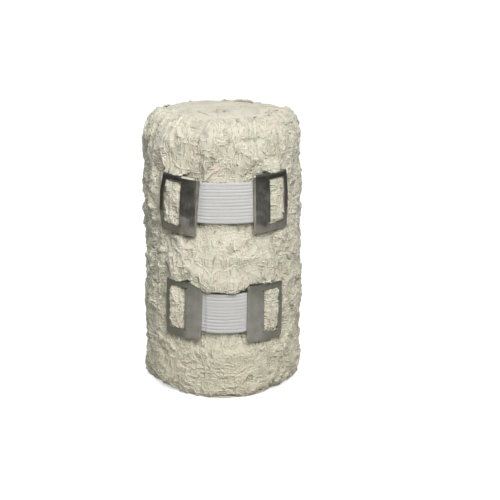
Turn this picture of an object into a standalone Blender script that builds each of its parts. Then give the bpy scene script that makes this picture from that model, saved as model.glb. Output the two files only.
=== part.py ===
"""A crepe bandage, wound into a roll and held by two stretch clips.

Metres, +Z up. The roll stands on its flat lower end with its axis on Z, and the clips face -Y.
A place on the roll is given by its azimuth, which is 0 at the front and grows towards +X,
by its radius from the axis and by its height.
"""

import math

import bmesh
import bpy

# The wound roll.
ROLL_HEIGHT = 0.0800
ROLL_RADIUS = 0.0229
TOP_TAPER = 0.0003
RIM_RADIUS = 0.0040
LOWER_RIM_RADIUS = 0.0020
FREE_END_STEP = 0.0006
FREE_END_AZIMUTH = math.radians(-18.0)
FREE_END_RAMP = math.radians(3.0)
CROWN_RISE = 0.0006
EYE_MOUTH_RADIUS = 0.0027
EYE_RADIUS = 0.0018
EYE_DEPTH = 0.0012
ROLL_COLUMNS = 80
SIDE_ROWS = 30
RIM_ROWS = 4
CAP_RING_SHARES = (0.25, 0.6)
STILL_SHARE = 0.25
LOWER_RIM_SOFTENINGS = (
    # where the lower rim is rounder: azimuth and half width in degrees, added rim radius
    {"azimuth": -52, "width": 16, "added": 0.0030},
    {"azimuth": 52, "width": 24, "added": 0.0022},
    {"azimuth": 175, "width": 50, "added": 0.0012},
)

# What the clips do to it: each band is drawn in, and the cloth swells beside it.
WAIST_DEPTH = 0.0012
WAIST_HALF_HEIGHT = 0.0088
WAIST_FADE = 0.0030
WAIST_HALF_AZIMUTH = math.radians(42)
WAIST_FADE_AZIMUTH = math.radians(24)
PUFFS = (
    # azimuth in degrees, height, half width in degrees, half height, rise
    {"azimuth": 2, "height": 0.0421, "width": 48, "tall": 0.0040, "rise": 0.0007},
    {"azimuth": -27, "height": 0.0402, "width": 20, "tall": 0.0030, "rise": 0.0006},
    {"azimuth": -5, "height": 0.0712, "width": 60, "tall": 0.0040, "rise": 0.0005},
    {"azimuth": 48, "height": 0.0712, "width": 25, "tall": 0.0035, "rise": 0.0004},
    {"azimuth": 10, "height": 0.0110, "width": 55, "tall": 0.0045, "rise": 0.0004},
    {"azimuth": -88, "height": 0.0130, "width": 30, "tall": 0.0160, "rise": 0.0005},
    {"azimuth": 85, "height": 0.0720, "width": 30, "tall": 0.0140, "rise": -0.0005},
    {"azimuth": 140, "height": 0.0330, "width": 45, "tall": 0.0180, "rise": 0.0004},
    {"azimuth": -125, "height": 0.0560, "width": 40, "tall": 0.0160, "rise": 0.0003},
)

# A clip's windowed end plate, as its flat blank before it is folded and bent.
# "along" runs round the roll from the edge beside the elastic, "up" from the middle of the plate.
PLATE_THICKNESS = 0.0003
PLATE_WIDTH = 0.0117
PLATE_HEIGHT = 0.0168
INNER_BAR = 0.0046
WINDOW_WIDTH = 0.0056
WINDOW_TOP = 0.0066
WINDOW_BOTTOM = -0.0062
PLATE_CORNER = 0.0007
WINDOW_CORNER = 0.0005
TONGUE_LENGTH = 0.0048
TONGUE_SLOT = 0.0004
FOLD_RADIUS = 0.0007
FOLD_STEPS = 6
BEND_COLUMNS = 9
BOW_LEVEL_SHARES = (-0.3, 0.3)
EDGE_BEVEL = 0.00007
OUTER_BAR_LIFT = 0.0011
BOW_OUTWARD_SHARE = 0.8
BEND_RADIUS_OVER_SEAT = 0.0010
TOLERANCE = 0.00001

# The elastic strip between a clip's plates.
ELASTIC_HEIGHT = 0.0115
ELASTIC_THICKNESS = 0.00085
CRIMPED_THICKNESS = 0.0005
CRIMPED_LENGTH = 0.0034
SWELL_START = 0.0006
SWELL_LENGTH = 0.0008
ELASTIC_COLUMNS = 24

# Clearances between the pieces.
GAP = 0.0003
ELASTIC_GAP = 0.0004

CLIPS = (
    {"name": "upper_clip", "waist": 0.0578, "elastic": 0.0583, "sag": 0.0000},
    {"name": "lower_clip", "waist": 0.0266, "elastic": 0.0264, "sag": 0.0003},
)
PLATES = (
    # middle of the plate, its tilt in degrees, and how far its outer bar is bowed
    {"clip": "upper_clip", "side": "left", "azimuth": -31.7, "height": 0.0573, "tilt": -4.3, "bow": 0.0008},
    {"clip": "upper_clip", "side": "right", "azimuth": 35.7, "height": 0.0578, "tilt": 1.0, "bow": 0.0003},
    {"clip": "lower_clip", "side": "left", "azimuth": -29.6, "height": 0.0267, "tilt": -2.0, "bow": 0.0001},
    {"clip": "lower_clip", "side": "right", "azimuth": 30.9, "height": 0.0257, "tilt": -0.9, "bow": 0.0001},
)

MATERIALS = {
    # colour, roughness, metallic
    "crepe_cotton": ((0.72, 0.68, 0.58), 0.95, 0.0),
    "plated_steel": ((0.45, 0.45, 0.43), 0.30, 1.0),
    "elastic_webbing": ((0.76, 0.76, 0.76), 0.80, 0.0),
}


def clear_scene():
    for existing in list(bpy.data.objects):
        bpy.data.objects.remove(existing, do_unlink=True)


def make_material(name):
    colour, roughness, metallic = MATERIALS[name]
    material = bpy.data.materials.new(name)
    material.use_nodes = True
    shader = material.node_tree.nodes["Principled BSDF"]
    shader.inputs["Base Color"].default_value = (*colour, 1.0)
    shader.inputs["Roughness"].default_value = roughness
    shader.inputs["Metallic"].default_value = metallic
    return material


def add_object(name, mesh_data, collection, material):
    piece = bpy.data.objects.new(name, mesh_data)
    piece.data.materials.append(material)
    collection.objects.link(piece)
    return piece


def smooth_step(value):
    value = min(max(value, 0.0), 1.0)
    return value * value * (3.0 - 2.0 * value)


def wrapped(angle):
    return (angle + math.pi) % (2.0 * math.pi) - math.pi


def on_roll(azimuth, radius, height):
    return (radius * math.sin(azimuth), -radius * math.cos(azimuth), height)


def turn_offset(azimuth):
    """The outer turn starts one thickness proud at the free end and ends level with it."""
    share = ((azimuth - FREE_END_AZIMUTH) % (2.0 * math.pi)) / (2.0 * math.pi)
    ramp = smooth_step(share * 2.0 * math.pi / FREE_END_RAMP)
    return FREE_END_STEP * (ramp * (1.0 - share) - 0.5)


def waist_offset(azimuth, height):
    beyond = abs(wrapped(azimuth)) - WAIST_HALF_AZIMUTH
    across = 1.0 - smooth_step(beyond / WAIST_FADE_AZIMUTH)
    drawn_in = 0.0
    for clip in CLIPS:
        away = abs(height - clip["waist"]) - WAIST_HALF_HEIGHT
        drawn_in += 1.0 - smooth_step(away / WAIST_FADE)
    return -WAIST_DEPTH * across * drawn_in


def puff_offset(azimuth, height):
    total = 0.0
    for puff in PUFFS:
        sideways = wrapped(azimuth - math.radians(puff["azimuth"])) / math.radians(puff["width"])
        upwards = (height - puff["height"]) / puff["tall"]
        total += puff["rise"] * math.exp(-sideways * sideways - upwards * upwards)
    return total


def roll_radius(azimuth, height):
    taper = TOP_TAPER * (0.5 - height / ROLL_HEIGHT)
    form = taper + turn_offset(azimuth) + waist_offset(azimuth, height) + puff_offset(azimuth, height)
    return ROLL_RADIUS + form


def lower_rim_radius(azimuth):
    radius = LOWER_RIM_RADIUS
    for softening in LOWER_RIM_SOFTENINGS:
        sideways = wrapped(azimuth - math.radians(softening["azimuth"])) / math.radians(softening["width"])
        radius += softening["added"] * math.exp(-sideways * sideways)
    return radius


def roll_profile():
    """Radius and height from the middle of the lower end, up the side, to the middle of the top."""
    flat = ROLL_RADIUS - RIM_RADIUS
    top = ROLL_HEIGHT - CROWN_RISE
    points = [(0.0, 0.0)]
    points += [(flat * share, 0.0) for share in CAP_RING_SHARES]
    for row in range(RIM_ROWS + 1):
        angle = math.pi / 2 * row / RIM_ROWS
        points.append((flat + RIM_RADIUS * math.sin(angle), RIM_RADIUS * (1.0 - math.cos(angle))))
    side_height = top - 2.0 * RIM_RADIUS
    points += [(ROLL_RADIUS, RIM_RADIUS + side_height * row / SIDE_ROWS) for row in range(1, SIDE_ROWS)]
    for row in range(RIM_ROWS + 1):
        angle = math.pi / 2 * row / RIM_ROWS
        height = top - RIM_RADIUS * (1.0 - math.sin(angle))
        points.append((flat + RIM_RADIUS * math.cos(angle), height))
    points += [(flat * share, top) for share in reversed(CAP_RING_SHARES)]
    points += [(EYE_MOUTH_RADIUS, top), (EYE_RADIUS, top - EYE_DEPTH), (0.0, top - EYE_DEPTH)]
    return points


def shape_roll(mesh):
    """Turns the plain turned body into the wound form."""
    flat = ROLL_RADIUS - RIM_RADIUS
    still = ROLL_RADIUS * STILL_SHARE
    for vertex in mesh.verts:
        radius = math.hypot(vertex.co.x, vertex.co.y)
        azimuth = math.atan2(vertex.co.x, -vertex.co.y)
        height = vertex.co.z
        if height < RIM_RADIUS and radius > flat - TOLERANCE:
            turn = math.acos(1.0 - height / RIM_RADIUS)
            rim = lower_rim_radius(azimuth)
            radius = ROLL_RADIUS - rim * (1.0 - math.sin(turn))
            height = rim * (1.0 - math.cos(turn))
        change = roll_radius(azimuth, height) - ROLL_RADIUS
        if height > ROLL_HEIGHT / 2:
            upper = smooth_step((height - ROLL_HEIGHT / 2) / (ROLL_HEIGHT / 2 - RIM_RADIUS))
            height += CROWN_RISE * upper * (1.0 - (radius / ROLL_RADIUS) ** 2)
        radius += change * smooth_step((radius - still) / (ROLL_RADIUS - still))
        vertex.co = on_roll(azimuth, radius, height)


def make_roll(collection, material):
    mesh = bmesh.new()
    profile = [mesh.verts.new((0.0, -radius, height)) for radius, height in roll_profile()]
    edges = [mesh.edges.new(pair) for pair in zip(profile, profile[1:])]
    bmesh.ops.spin(
        mesh,
        geom=profile + edges,
        cent=(0, 0, 0),
        axis=(0, 0, 1),
        angle=2.0 * math.pi,
        steps=ROLL_COLUMNS,
    )
    bmesh.ops.remove_doubles(mesh, verts=mesh.verts, dist=TOLERANCE)
    bmesh.ops.dissolve_degenerate(mesh, edges=mesh.edges, dist=TOLERANCE)
    bmesh.ops.recalc_face_normals(mesh, faces=mesh.faces)
    shape_roll(mesh)
    mesh_data = bpy.data.meshes.new("bandage_roll")
    mesh.to_mesh(mesh_data)
    mesh.free()
    mesh_data.shade_smooth()
    return add_object("bandage_roll", mesh_data, collection, material)


def rounded_rectangle(left, right, low, high, corner, steps=3):
    """The points of an upright rectangle with round corners, anticlockwise."""
    centres = (
        (right - corner, low + corner, -90),
        (right - corner, high - corner, 0),
        (left + corner, high - corner, 90),
        (left + corner, low + corner, 180),
    )
    points = []
    for centre_x, centre_y, start in centres:
        for step in range(steps + 1):
            angle = math.radians(start + 90 * step / steps)
            points.append((centre_x + corner * math.cos(angle), centre_y + corner * math.sin(angle)))
    return points


def tongue_sides():
    """Root, tip, lower side and upper side of the tongue in the flat blank."""
    return INNER_BAR, INNER_BAR + TONGUE_LENGTH, WINDOW_BOTTOM + TONGUE_SLOT, WINDOW_TOP - TONGUE_SLOT


def slot_outline():
    """The hole in the blank: the window without the tongue, which stays joined at its root."""
    root, tip, low, high = tongue_sides()
    window = rounded_rectangle(root, root + WINDOW_WIDTH, WINDOW_BOTTOM, WINDOW_TOP, WINDOW_CORNER)
    outside = [point for point in window if point[0] > root + WINDOW_CORNER]
    inside = [(root, high), (tip, high), (tip, low), (root, low)]
    return [(root, WINDOW_BOTTOM)] + outside + [(root, WINDOW_TOP)] + inside


def in_tongue(along, up):
    root, tip, low, high = tongue_sides()
    return root + TOLERANCE < along < tip + TOLERANCE and low - TOLERANCE < up < high + TOLERANCE


def closed_loop(mesh, points):
    vertices = [mesh.verts.new((x, y, 0.0)) for x, y in points]
    return [mesh.edges.new(pair) for pair in zip(vertices, vertices[1:] + vertices[:1])]


def cut_across(mesh, place, direction):
    """Adds edges where a plane crosses the mesh, so that it can bend there."""
    everything = mesh.verts[:] + mesh.edges[:] + mesh.faces[:]
    bmesh.ops.bisect_plane(mesh, geom=everything, dist=4 * TOLERANCE, plane_co=place, plane_no=direction)


def flat_blank():
    """The punched blank, cut across where it will be bent."""
    mesh = bmesh.new()
    half = PLATE_HEIGHT / 2
    edges = closed_loop(mesh, rounded_rectangle(0.0, PLATE_WIDTH, -half, half, PLATE_CORNER))
    edges += closed_loop(mesh, slot_outline())
    bmesh.ops.triangle_fill(mesh, edges=edges, use_beauty=True)
    fold_length = math.pi * FOLD_RADIUS
    cuts = [INNER_BAR + fold_length * step / FOLD_STEPS for step in range(FOLD_STEPS + 1)]
    cuts += [PLATE_WIDTH * step / BEND_COLUMNS for step in range(1, BEND_COLUMNS)]
    for cut in cuts:
        cut_across(mesh, (cut, 0, 0), (1, 0, 0))
    for share in BOW_LEVEL_SHARES:
        cut_across(mesh, (0, half * share, 0), (0, 1, 0))
    bmesh.ops.recalc_face_normals(mesh, faces=mesh.faces)
    return mesh


def seat_radius(plate):
    """The drawn-in cloth's radius under the middle of the plate, with the gap to it."""
    clip = next(clip for clip in CLIPS if clip["name"] == plate["clip"])
    return roll_radius(math.radians(plate["azimuth"]), clip["waist"]) + GAP


def bend_radius(plate):
    return seat_radius(plate) + BEND_RADIUS_OVER_SEAT


def sheet_depth(along):
    """How high the sheet's middle lies above the seat: over the elastic, then down to the cloth."""
    over_elastic = PLATE_THICKNESS / 2 + 2.0 * FOLD_RADIUS
    at_cloth = PLATE_THICKNESS / 2 + OUTER_BAR_LIFT
    drop = smooth_step((along - INNER_BAR) / (PLATE_WIDTH - INNER_BAR))
    return over_elastic + (at_cloth - over_elastic) * drop


def bent_point(plate, along, up):
    """Where a point of the blank lies once the tongue is folded back and the plate bent to the roll."""
    depth = sheet_depth(min(along, PLATE_WIDTH))
    if in_tongue(along, up):
        past_root = along - INNER_BAR
        turn = min(past_root / FOLD_RADIUS, math.pi)
        flat_run = past_root - turn * FOLD_RADIUS
        along = INNER_BAR + FOLD_RADIUS * math.sin(turn) - flat_run
        depth = PLATE_THICKNESS / 2 + FOLD_RADIUS * (1.0 + math.cos(turn))
    bowed = plate["bow"] * (1.0 - (2.0 * up / PLATE_HEIGHT) ** 2) * smooth_step(along / PLATE_WIDTH)
    side = -1.0 if plate["side"] == "left" else 1.0
    tilt = math.radians(plate["tilt"])
    across = side * (along + bowed - PLATE_WIDTH / 2)
    turned_across = across * math.cos(tilt) - up * math.sin(tilt)
    turned_up = across * math.sin(tilt) + up * math.cos(tilt)
    radius = seat_radius(plate) + depth + bowed * BOW_OUTWARD_SHARE
    azimuth = math.radians(plate["azimuth"]) + turned_across / bend_radius(plate)
    return on_roll(azimuth, radius, plate["height"] + turned_up)


def make_plate(plate, collection, material):
    mesh = flat_blank()
    for vertex in mesh.verts:
        vertex.co = bent_point(plate, vertex.co.x, vertex.co.y)
    bmesh.ops.recalc_face_normals(mesh, faces=mesh.faces)
    name = f"{plate['clip']}_{plate['side']}_plate"
    mesh_data = bpy.data.meshes.new(name)
    mesh.to_mesh(mesh_data)
    mesh.free()
    piece = add_object(name, mesh_data, collection, material)
    thickness = piece.modifiers.new("sheet thickness", "SOLIDIFY")
    thickness.thickness = PLATE_THICKNESS
    thickness.offset = 0.0
    thickness.use_even_offset = True
    edges = piece.modifiers.new("pressed edges", "BEVEL")
    edges.width = EDGE_BEVEL
    edges.segments = 1
    edges.limit_method = "ANGLE"
    edges.angle_limit = math.radians(60)
    return piece


def inner_edge_azimuth(plate):
    half = PLATE_WIDTH / 2 / bend_radius(plate)
    side = 1.0 if plate["side"] == "left" else -1.0
    return math.radians(plate["azimuth"]) + side * half


def make_elastic(clip, collection, material):
    """A curved strip whose ends are pressed thin inside the folded plates."""
    left, right = (
        next(plate for plate in PLATES if plate["clip"] == clip["name"] and plate["side"] == side)
        for side in ("left", "right")
    )
    middle_depth = PLATE_THICKNESS / 2 + FOLD_RADIUS
    radii = [seat_radius(plate) + middle_depth for plate in (left, right)]
    visible = [inner_edge_azimuth(plate) for plate in (left, right)]
    start = visible[0] - CRIMPED_LENGTH / radii[0]
    end = visible[1] + CRIMPED_LENGTH / radii[1]
    mesh = bmesh.new()
    bmesh.ops.create_cube(mesh, size=1.0)
    for step in range(1, ELASTIC_COLUMNS):
        cut_across(mesh, (step / ELASTIC_COLUMNS - 0.5, 0, 0), (1, 0, 0))
    for vertex in mesh.verts:
        share = vertex.co.x + 0.5
        azimuth = start + (end - start) * share
        between = (azimuth - visible[0]) / (visible[1] - visible[0])
        radius = radii[0] + (radii[1] - radii[0]) * smooth_step(between)
        from_plate = min(azimuth - visible[0], visible[1] - azimuth) * radius
        full = smooth_step((from_plate - SWELL_START) / SWELL_LENGTH)
        thickness = CRIMPED_THICKNESS + (ELASTIC_THICKNESS - CRIMPED_THICKNESS) * full
        resting = roll_radius(azimuth, clip["waist"]) + ELASTIC_GAP + thickness / 2
        radius += max(resting - radius, 0.0) * full
        sag = clip["sag"] * math.sin(math.pi * min(max(between, 0.0), 1.0))
        height = clip["elastic"] - sag + ELASTIC_HEIGHT * vertex.co.z
        vertex.co = on_roll(azimuth, radius - thickness * vertex.co.y, height)
    bmesh.ops.recalc_face_normals(mesh, faces=mesh.faces)
    name = f"{clip['name']}_elastic"
    mesh_data = bpy.data.meshes.new(name)
    mesh.to_mesh(mesh_data)
    mesh.free()
    return add_object(name, mesh_data, collection, material)


def main():
    clear_scene()
    collection = bpy.data.collections.new("crepe_bandage_roll")
    bpy.context.scene.collection.children.link(collection)
    materials = {name: make_material(name) for name in MATERIALS}
    make_roll(collection, materials["crepe_cotton"])
    for plate in PLATES:
        make_plate(plate, collection, materials["plated_steel"])
    for clip in CLIPS:
        make_elastic(clip, collection, materials["elastic_webbing"])


main()
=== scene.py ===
"""Looks of a crepe bandage, wound into a roll and held by two stretch clips.

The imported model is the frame. Lengths in this file are millimetres unless a name says otherwise,
and a place on the roll is an azimuth, 0 at the front (-Y) and growing towards +X, a radius and a height.
A place on the wound strip is x, the length along it from its free outer end, and y, the height across it.
"""

import math

import bpy
import numpy as np
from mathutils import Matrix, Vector
from mathutils.bvhtree import BVHTree


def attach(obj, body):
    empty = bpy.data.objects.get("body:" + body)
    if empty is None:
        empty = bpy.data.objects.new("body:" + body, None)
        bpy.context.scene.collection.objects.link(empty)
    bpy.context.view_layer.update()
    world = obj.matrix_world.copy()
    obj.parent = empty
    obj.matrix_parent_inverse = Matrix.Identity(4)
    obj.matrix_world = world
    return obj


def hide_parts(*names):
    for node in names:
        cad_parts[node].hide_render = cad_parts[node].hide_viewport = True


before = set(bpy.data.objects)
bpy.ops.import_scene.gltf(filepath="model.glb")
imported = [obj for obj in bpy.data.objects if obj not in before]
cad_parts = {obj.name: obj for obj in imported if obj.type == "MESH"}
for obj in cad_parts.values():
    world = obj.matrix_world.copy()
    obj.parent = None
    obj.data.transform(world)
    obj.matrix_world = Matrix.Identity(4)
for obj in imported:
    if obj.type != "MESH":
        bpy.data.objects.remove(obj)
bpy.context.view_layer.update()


def table(columns, *rows):
    """Rows of numbers as dictionaries, with the columns' names said once."""
    return [dict(zip(columns.split(), row)) for row in rows]


MM = 0.001
FULL_TURN = 2.0 * math.pi

# A quad's corners the other way round.
FLIPPED = [0, 3, 2, 1]

# The wound strip: its width, the roll's radius, the pitch of its turns, the radius they end at, the
# length of the outer one, and the step between points along the strip.
STRIP_WIDTH = 80.0
ROLL_RADIUS = 22.9
TURN_PITCH = 0.80
INNER_RADIUS = 1.7
TURN_LENGTH = FULL_TURN * ROLL_RADIUS
STRIP_STEP = 0.55

# Its free outer end, and the seam where the outer turn comes round to that.
FREE_END_AZIMUTH = math.radians(-18.0)
FREE_END_STEP = 0.6
FREE_END_PRESS = 0.70
FREE_END_CLEARANCE = math.radians(3.4)
FREE_END_RUN = 3.0
SEAM_BLEND = 14.0
SEAM_DIP = 0.5
SEAM_RUN = 1.2

# The rims of the roll's solid form, and the turns' edges at its ends.
RIM_DEPTH = 7.0
LOWER_RIM_SPAN = math.radians(-48.0)
UPPER_RIM_SPAN = math.radians(51.0)
CROWN_HEIGHT = 79.4
CROWN_RISE = 0.6
CROWN_LUMPS = 0.45
OUTER_TUCK = 0.8

# The strip's upper edge, turned in over the end at the front: where across the strip the turn-in's
# spread and its bend start, how far it spreads and is lifted, the bend's radius, how uneven the spread
# is, how far it leans in the end, and the azimuths it starts and is full at, on either side.
TURN_IN_START = 64.0
TURN_IN_BEND = 75.0
TURN_IN_SPREAD = 0.44
TURN_IN_LIFT = 0.85
TURN_IN_RADIUS = 6.0
TURN_IN_UNEVENNESS = 0.16
TURN_IN_LEAN = math.radians(113.0)
TURN_IN_SPAN = (math.radians(125.0), math.radians(78.0))

# Its yarns: the weft runs up the roll and the warp round it. The warp is crowded where it turns in.
WEFT_COUNT = 186
WARP_COUNT = 103
WARP_CROWDING = 5.0
WEFT_POINTS = 208
WARP_POINTS = 330
YARN_HALF_WIDTH = 0.34
YARN_HALF_THICKNESS = 0.24
INTERLACE_RISE = 0.14
PLY_PITCH = 0.9
YARN_DEPTH = {"weft": 0.30, "warp": 0.33}
YARN_WANDER = {"weft": 0.66, "warp": 0.60}
YARN_LIFT = {"weft": 0.18, "warp": 0.17}
YARN_CLEARANCE = 0.05

# What lies behind the yarns: the fuzz between them, the strip itself, and the fuzz at the upper end.
GROUND_DEPTH = 0.24
GROUND_GRID = (300, 164)
BACKING_DEPTH = 1.0
BACKING_SAG = 0.45
BACKING_MARGIN = 0.6
CROWN_FILL_RADIUS = 20.4
CROWN_FILL_DEPTH = 0.35
CROWN_FILL_GRID = (44, 150)

# Crinkled edge yarns: place across the strip, shift outwards, step along it.
SELVEDGES = table(
    "name y out step seed",
    ("upper_selvedge_outer", STRIP_WIDTH, -0.40, 0.5, 61),
    ("upper_selvedge_inner", STRIP_WIDTH - 0.35, -0.80, 0.5, 64),
    ("lower_selvedge", 0.0, -0.5, 0.9, 67),
)
SELVEDGE_HALF_WIDTH = 0.31
SELVEDGE_HALF_THICKNESS = 0.29
# How much each one wanders and dips and its thickness and tone vary, and over what length.
SELVEDGE_NOISES = ((0.13, 1.5), (0.22, 1.3), (0.2, 1.4), (0.8, 12.0))

# Random draws.
KNOT_SPREAD = 1.8
NOISE_ORIGIN = -20.0
BREAK_SEED_SHIFT = 400
PIT_SEED = 19
YARN_SEEDS = {"weft": 21, "warp": 31}
STRIP_SEEDS = (51, 52, 53, 54)
GROUND_SEED = 81
CROWN_FUZZ_SEED = 85
CROWN_LUMP_SEED = 86
TURN_IN_SEED = 91

# Smooth random swells of the outer turn, and how far they shift it along, across and outwards. The
# strip's edges and its free end hold it back over a short way.
CRINKLES = table(
    "seed cell_x cell_y along across out",
    (11, 7.0, 7.5, 1.0, 1.0, 0.45),
    (12, 2.5, 3.2, 0.60, 0.60, 0.52),
    (13, 1.3, 1.5, 0.32, 0.32, 0.20),
)
EDGE_HOLD = 2.5
FREE_END_HOLD = 2.0

# Short curled ridges that the crepe's hard-twisted yarns draw up, and longer ones. They break off here
# and there, and small pits lie between them.
FINE_SQUIGGLES = table(
    "seed cell_x cell_y width rise",
    (14, 1.3, 1.4, 0.25, 0.42),
    (15, 1.9, 1.8, 0.21, 0.38),
)
BOLD_SQUIGGLES = table(
    "seed cell_x cell_y width rise",
    (16, 1.9, 2.9, 0.20, 0.52),
    (17, 2.6, 2.3, 0.16, 0.36),
)
SQUIGGLE_BREAK_CELL = 1.9
PIT_DEPTH = 0.50

# How strong the fine and the bold ones are at the front, and what is added on the left, at half height
# there, and on the right. Each side has an azimuth that it starts at and a run to where it is full.
STRENGTHS = table(
    "front left middle right",
    (0.50, 0.15, 0.0, 0.20),
    (0.20, 0.88, 0.25, 0.45),
)
LEFT_START, LEFT_RUN = math.radians(8.0), math.radians(26.0)
RIGHT_START, RIGHT_RUN = math.radians(14.0), math.radians(30.0)

# Cloth pressed through the plates' windows: middle and half sizes, in degrees and mm, and rise.
WINDOW_BULGES = table(
    "azimuth height half_azimuth half_height rise",
    (-38.8, 57.2, 8.8, 7.0, 0.78),
    (41.0, 58.1, 7.6, 6.8, 0.75),
    (-35.4, 26.7, 8.2, 6.9, 0.75),
    (35.8, 25.9, 7.6, 6.8, 0.75),
)
# Cloth that fills up the room under the outer bars.
BAR_SWELLS = table(
    "azimuth height half_azimuth half_height rise",
    (-41.0, 57.4, 13.0, 11.5, 0.85),
    (44.0, 58.1, 13.0, 11.5, 0.85),
    (-38.0, 26.9, 12.0, 11.5, 0.85),
    (39.0, 25.9, 12.0, 11.5, 0.85),
)

# Lines drawn into the cloth, or raised where the depth is below 0: ends, half width, depth.
CREASES = table(
    "azimuths heights width depth",
    ((-31.0, -10.0), (78.6, 77.4), 0.9, 0.55),
    ((4.0, 28.0), (75.2, 75.7), 0.9, 0.60),
    ((6.0, 15.5), (74.8, 69.1), 0.9, 0.60),
    ((25.0, 6.3), (48.2, 43.2), 0.8, 0.60),
    ((-45.0, -47.5), (55.0, 34.0), 1.6, 1.15),
    ((-55.0, -58.0), (60.0, 30.0), 1.2, 0.60),
    ((-50.0, -52.0), (56.0, 33.0), 1.1, -0.45),
    ((-36.0, 6.0), (40.5, 38.0), 2.2, -0.60),
    ((14.0, 17.0), (19.0, 14.0), 0.6, 0.50),
    ((9.0, 13.0), (19.5, 15.0), 0.6, 0.45),
    ((-22.0, -4.0), (72.0, 69.5), 0.8, 0.40),
    ((30.0, 52.0), (70.5, 69.0), 0.9, 0.45),
)

# Fuller and slacker parts towards the rims: azimuth and half width in degrees, place across the
# strip and reach across it, rise.
RIM_SWELLS = table(
    "azimuth width y tall rise",
    (-80.0, 32.0, 3.0, 3.5, 0.60),
    (-85.0, 35.0, 79.0, 4.5, 0.15),
    (75.0, 30.0, 80.0, 4.0, 0.30),
    (95.0, 32.0, 72.0, 5.0, -0.25),
    (85.0, 35.0, 54.0, 8.0, 0.35),
    (170.0, 70.0, 79.5, 4.0, 0.60),
)

# Cloth that swells over a plate's upper edge: the azimuths it grows and fades between, the edge,
# how far out and down it comes, and how far above the edge it is drawn down.
OVERHANGS = table(
    "span edge out drop reach",
    ((-44.0, -34.0, 6.0, 30.0), 35.3, 1.6, 0.4, 4.5),
    ((-24.0, -11.0, 14.5, 18.5), 35.3, 0.2, 2.7, 8.0),
    ((-47.0, -39.0, -29.0, -21.0), 65.8, 1.1, 0.5, 4.5),
    ((27.0, 34.0, 42.0, 49.0), 66.3, 1.1, 0.4, 4.5),
    ((14.5, 18.5, 36.0, 43.0), 34.3, 0.9, 0.5, 4.5),
)
# Where the clips pull the front smooth, and where it lies evenly below them.
CALM_PATCH, EVEN_PATCH = table(
    "azimuth height half_azimuth half_height",
    (1.0, 47.4, 20.0, 4.2),
    (6.0, 9.0, 34.0, 9.0),
)
PATCH_SHARPNESS = 2.0
PATCH_SIZE = 1.2
BULGE_SHARPNESS = 5.0
BAR_SWELL_SHARPNESS = 2.2

# The clips' elastics: covered strands side by side, and the beads of the thread that covers them.
RIBS = 12
ROWS_PER_RIB = 8
ELASTIC_COLUMNS = 90
RIB_ROUNDNESS = 0.6
BEAD_PITCH = 0.62
ELASTIC_SEEDS = {"upper_clip": 71, "lower_clip": 75}

# The plates: the radius they are bent to, the width of their edges' bevel, how far down from the upper
# edge a painted shade reaches, and where the painted shade of the outer bar starts and is full.
PLATE_BEND = 23.6
EDGE_BEVEL = 0.7
TOP_SHADE = 0.62
TOP_SHADE_DEPTH = 6.0
OUTER_BAR = (4.4, 6.2)

COTTON_LIGHT = (0.66, 0.625, 0.525)
COTTON_DARK = (0.54, 0.51, 0.42)
# Cotton behind the yarns, a little darker than theirs: painted shade for the gaps between them.
COTTON_BEHIND = (0.60, 0.57, 0.48)
COTTON_WARM = (0.60, 0.52, 0.44)
COTTON_GREEN = (0.50, 0.52, 0.40)
# Darker and yellower cotton towards the bottom.
COTTON_TOWARDS_BOTTOM = (0.58, 0.535, 0.40)
# Painted shade for the hollows between squiggles and for the pits.
COTTON_PAINTED_SHADE = (0.37, 0.365, 0.275)
ELASTIC_WHITE = (0.50, 0.495, 0.49)
ELASTIC_SOILED = (0.44, 0.435, 0.43)
ELASTIC_THREAD = (0.41, 0.41, 0.42)
# Colour of the plates' painted shade.
METAL_SHADE = (0.22, 0.22, 0.165)
BRIGHT = {"colour": (0.46, 0.455, 0.42), "dull": (0.34, 0.325, 0.29), "roughness": (0.08, 0.20)}
SATIN = {"colour": (0.49, 0.485, 0.45), "dull": (0.39, 0.385, 0.355), "roughness": (0.30, 0.42)}
# Finish, depth of the dents, slope of the bevelled edges, painted shade on the outer bar.
PLATES = table(
    "node finish dent slope tarnish",
    ("upper_clip_left_plate", BRIGHT, 0.95, 0.60, 0.60),
    ("upper_clip_right_plate", BRIGHT, 0.65, 0.35, 0.15),
    ("lower_clip_left_plate", SATIN, 0.60, 0.25, 0.75),
    ("lower_clip_right_plate", SATIN, 0.30, 0.25, 0.45),
)

# The stage, in metres. A light's spread is its size in metres, or a sun's in radians.
STAGE_SIDES = 96
STAGE_RADIUS_M = 4.0
STAGE_HOLE_M = 0.0005
FLOOR_LEVEL_M = -0.0002
BOUNCE_LEVEL_M = -0.0006
BOUNCE_RADIUS_M = 2.0
PALE = (0.88, 0.88, 0.87)
# The bounce floor's colours: painted shade further off, painted light near the roll.
TABLE_DARK = (0.050, 0.050, 0.042)
TABLE_GREY = (0.24, 0.225, 0.225)
TABLE_LIGHT = (0.39, 0.375, 0.345)
SKY = (0.82, 0.91, 1.0, 1.0)
SKY_STRENGTH = 0.34
LIGHT_COLOUR = (1.0, 0.985, 0.96)
LIGHT_AIM_M = (0.0, 0.0, 0.04)
LIGHTS = table(
    "name kind place spread energy",
    ("near_key", "AREA", (0.045, -0.275, 0.30), 0.20, 1.58),
    ("far_key", "SUN", (0.12, -1.00, 0.75), 0.70, 0.20),
    ("edge_light", "AREA", (-0.257, -0.207, 0.352), 0.13, 0.12),
    ("back_fill", "SUN", (0.10, 1.00, 0.30), 1.20, 1.8),
)
CAMERA_PLACE_M = (0.0, -0.370, 0.1495)
CAMERA_AIM_M = (0.0081, 0.0, 0.0380)
CAMERA_LENS = 93.7
CAMERA_SENSOR = 36.0


def smooth_step(value):
    """0 below 0 and 1 above 1, with a smooth rise between."""
    value = np.clip(value, 0.0, 1.0)
    return value * value * (3.0 - 2.0 * value)


def rise(value, start, end):
    """0 up to the start, 1 from the end on, with a smooth rise between."""
    return smooth_step((value - start) / (end - start))


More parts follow.
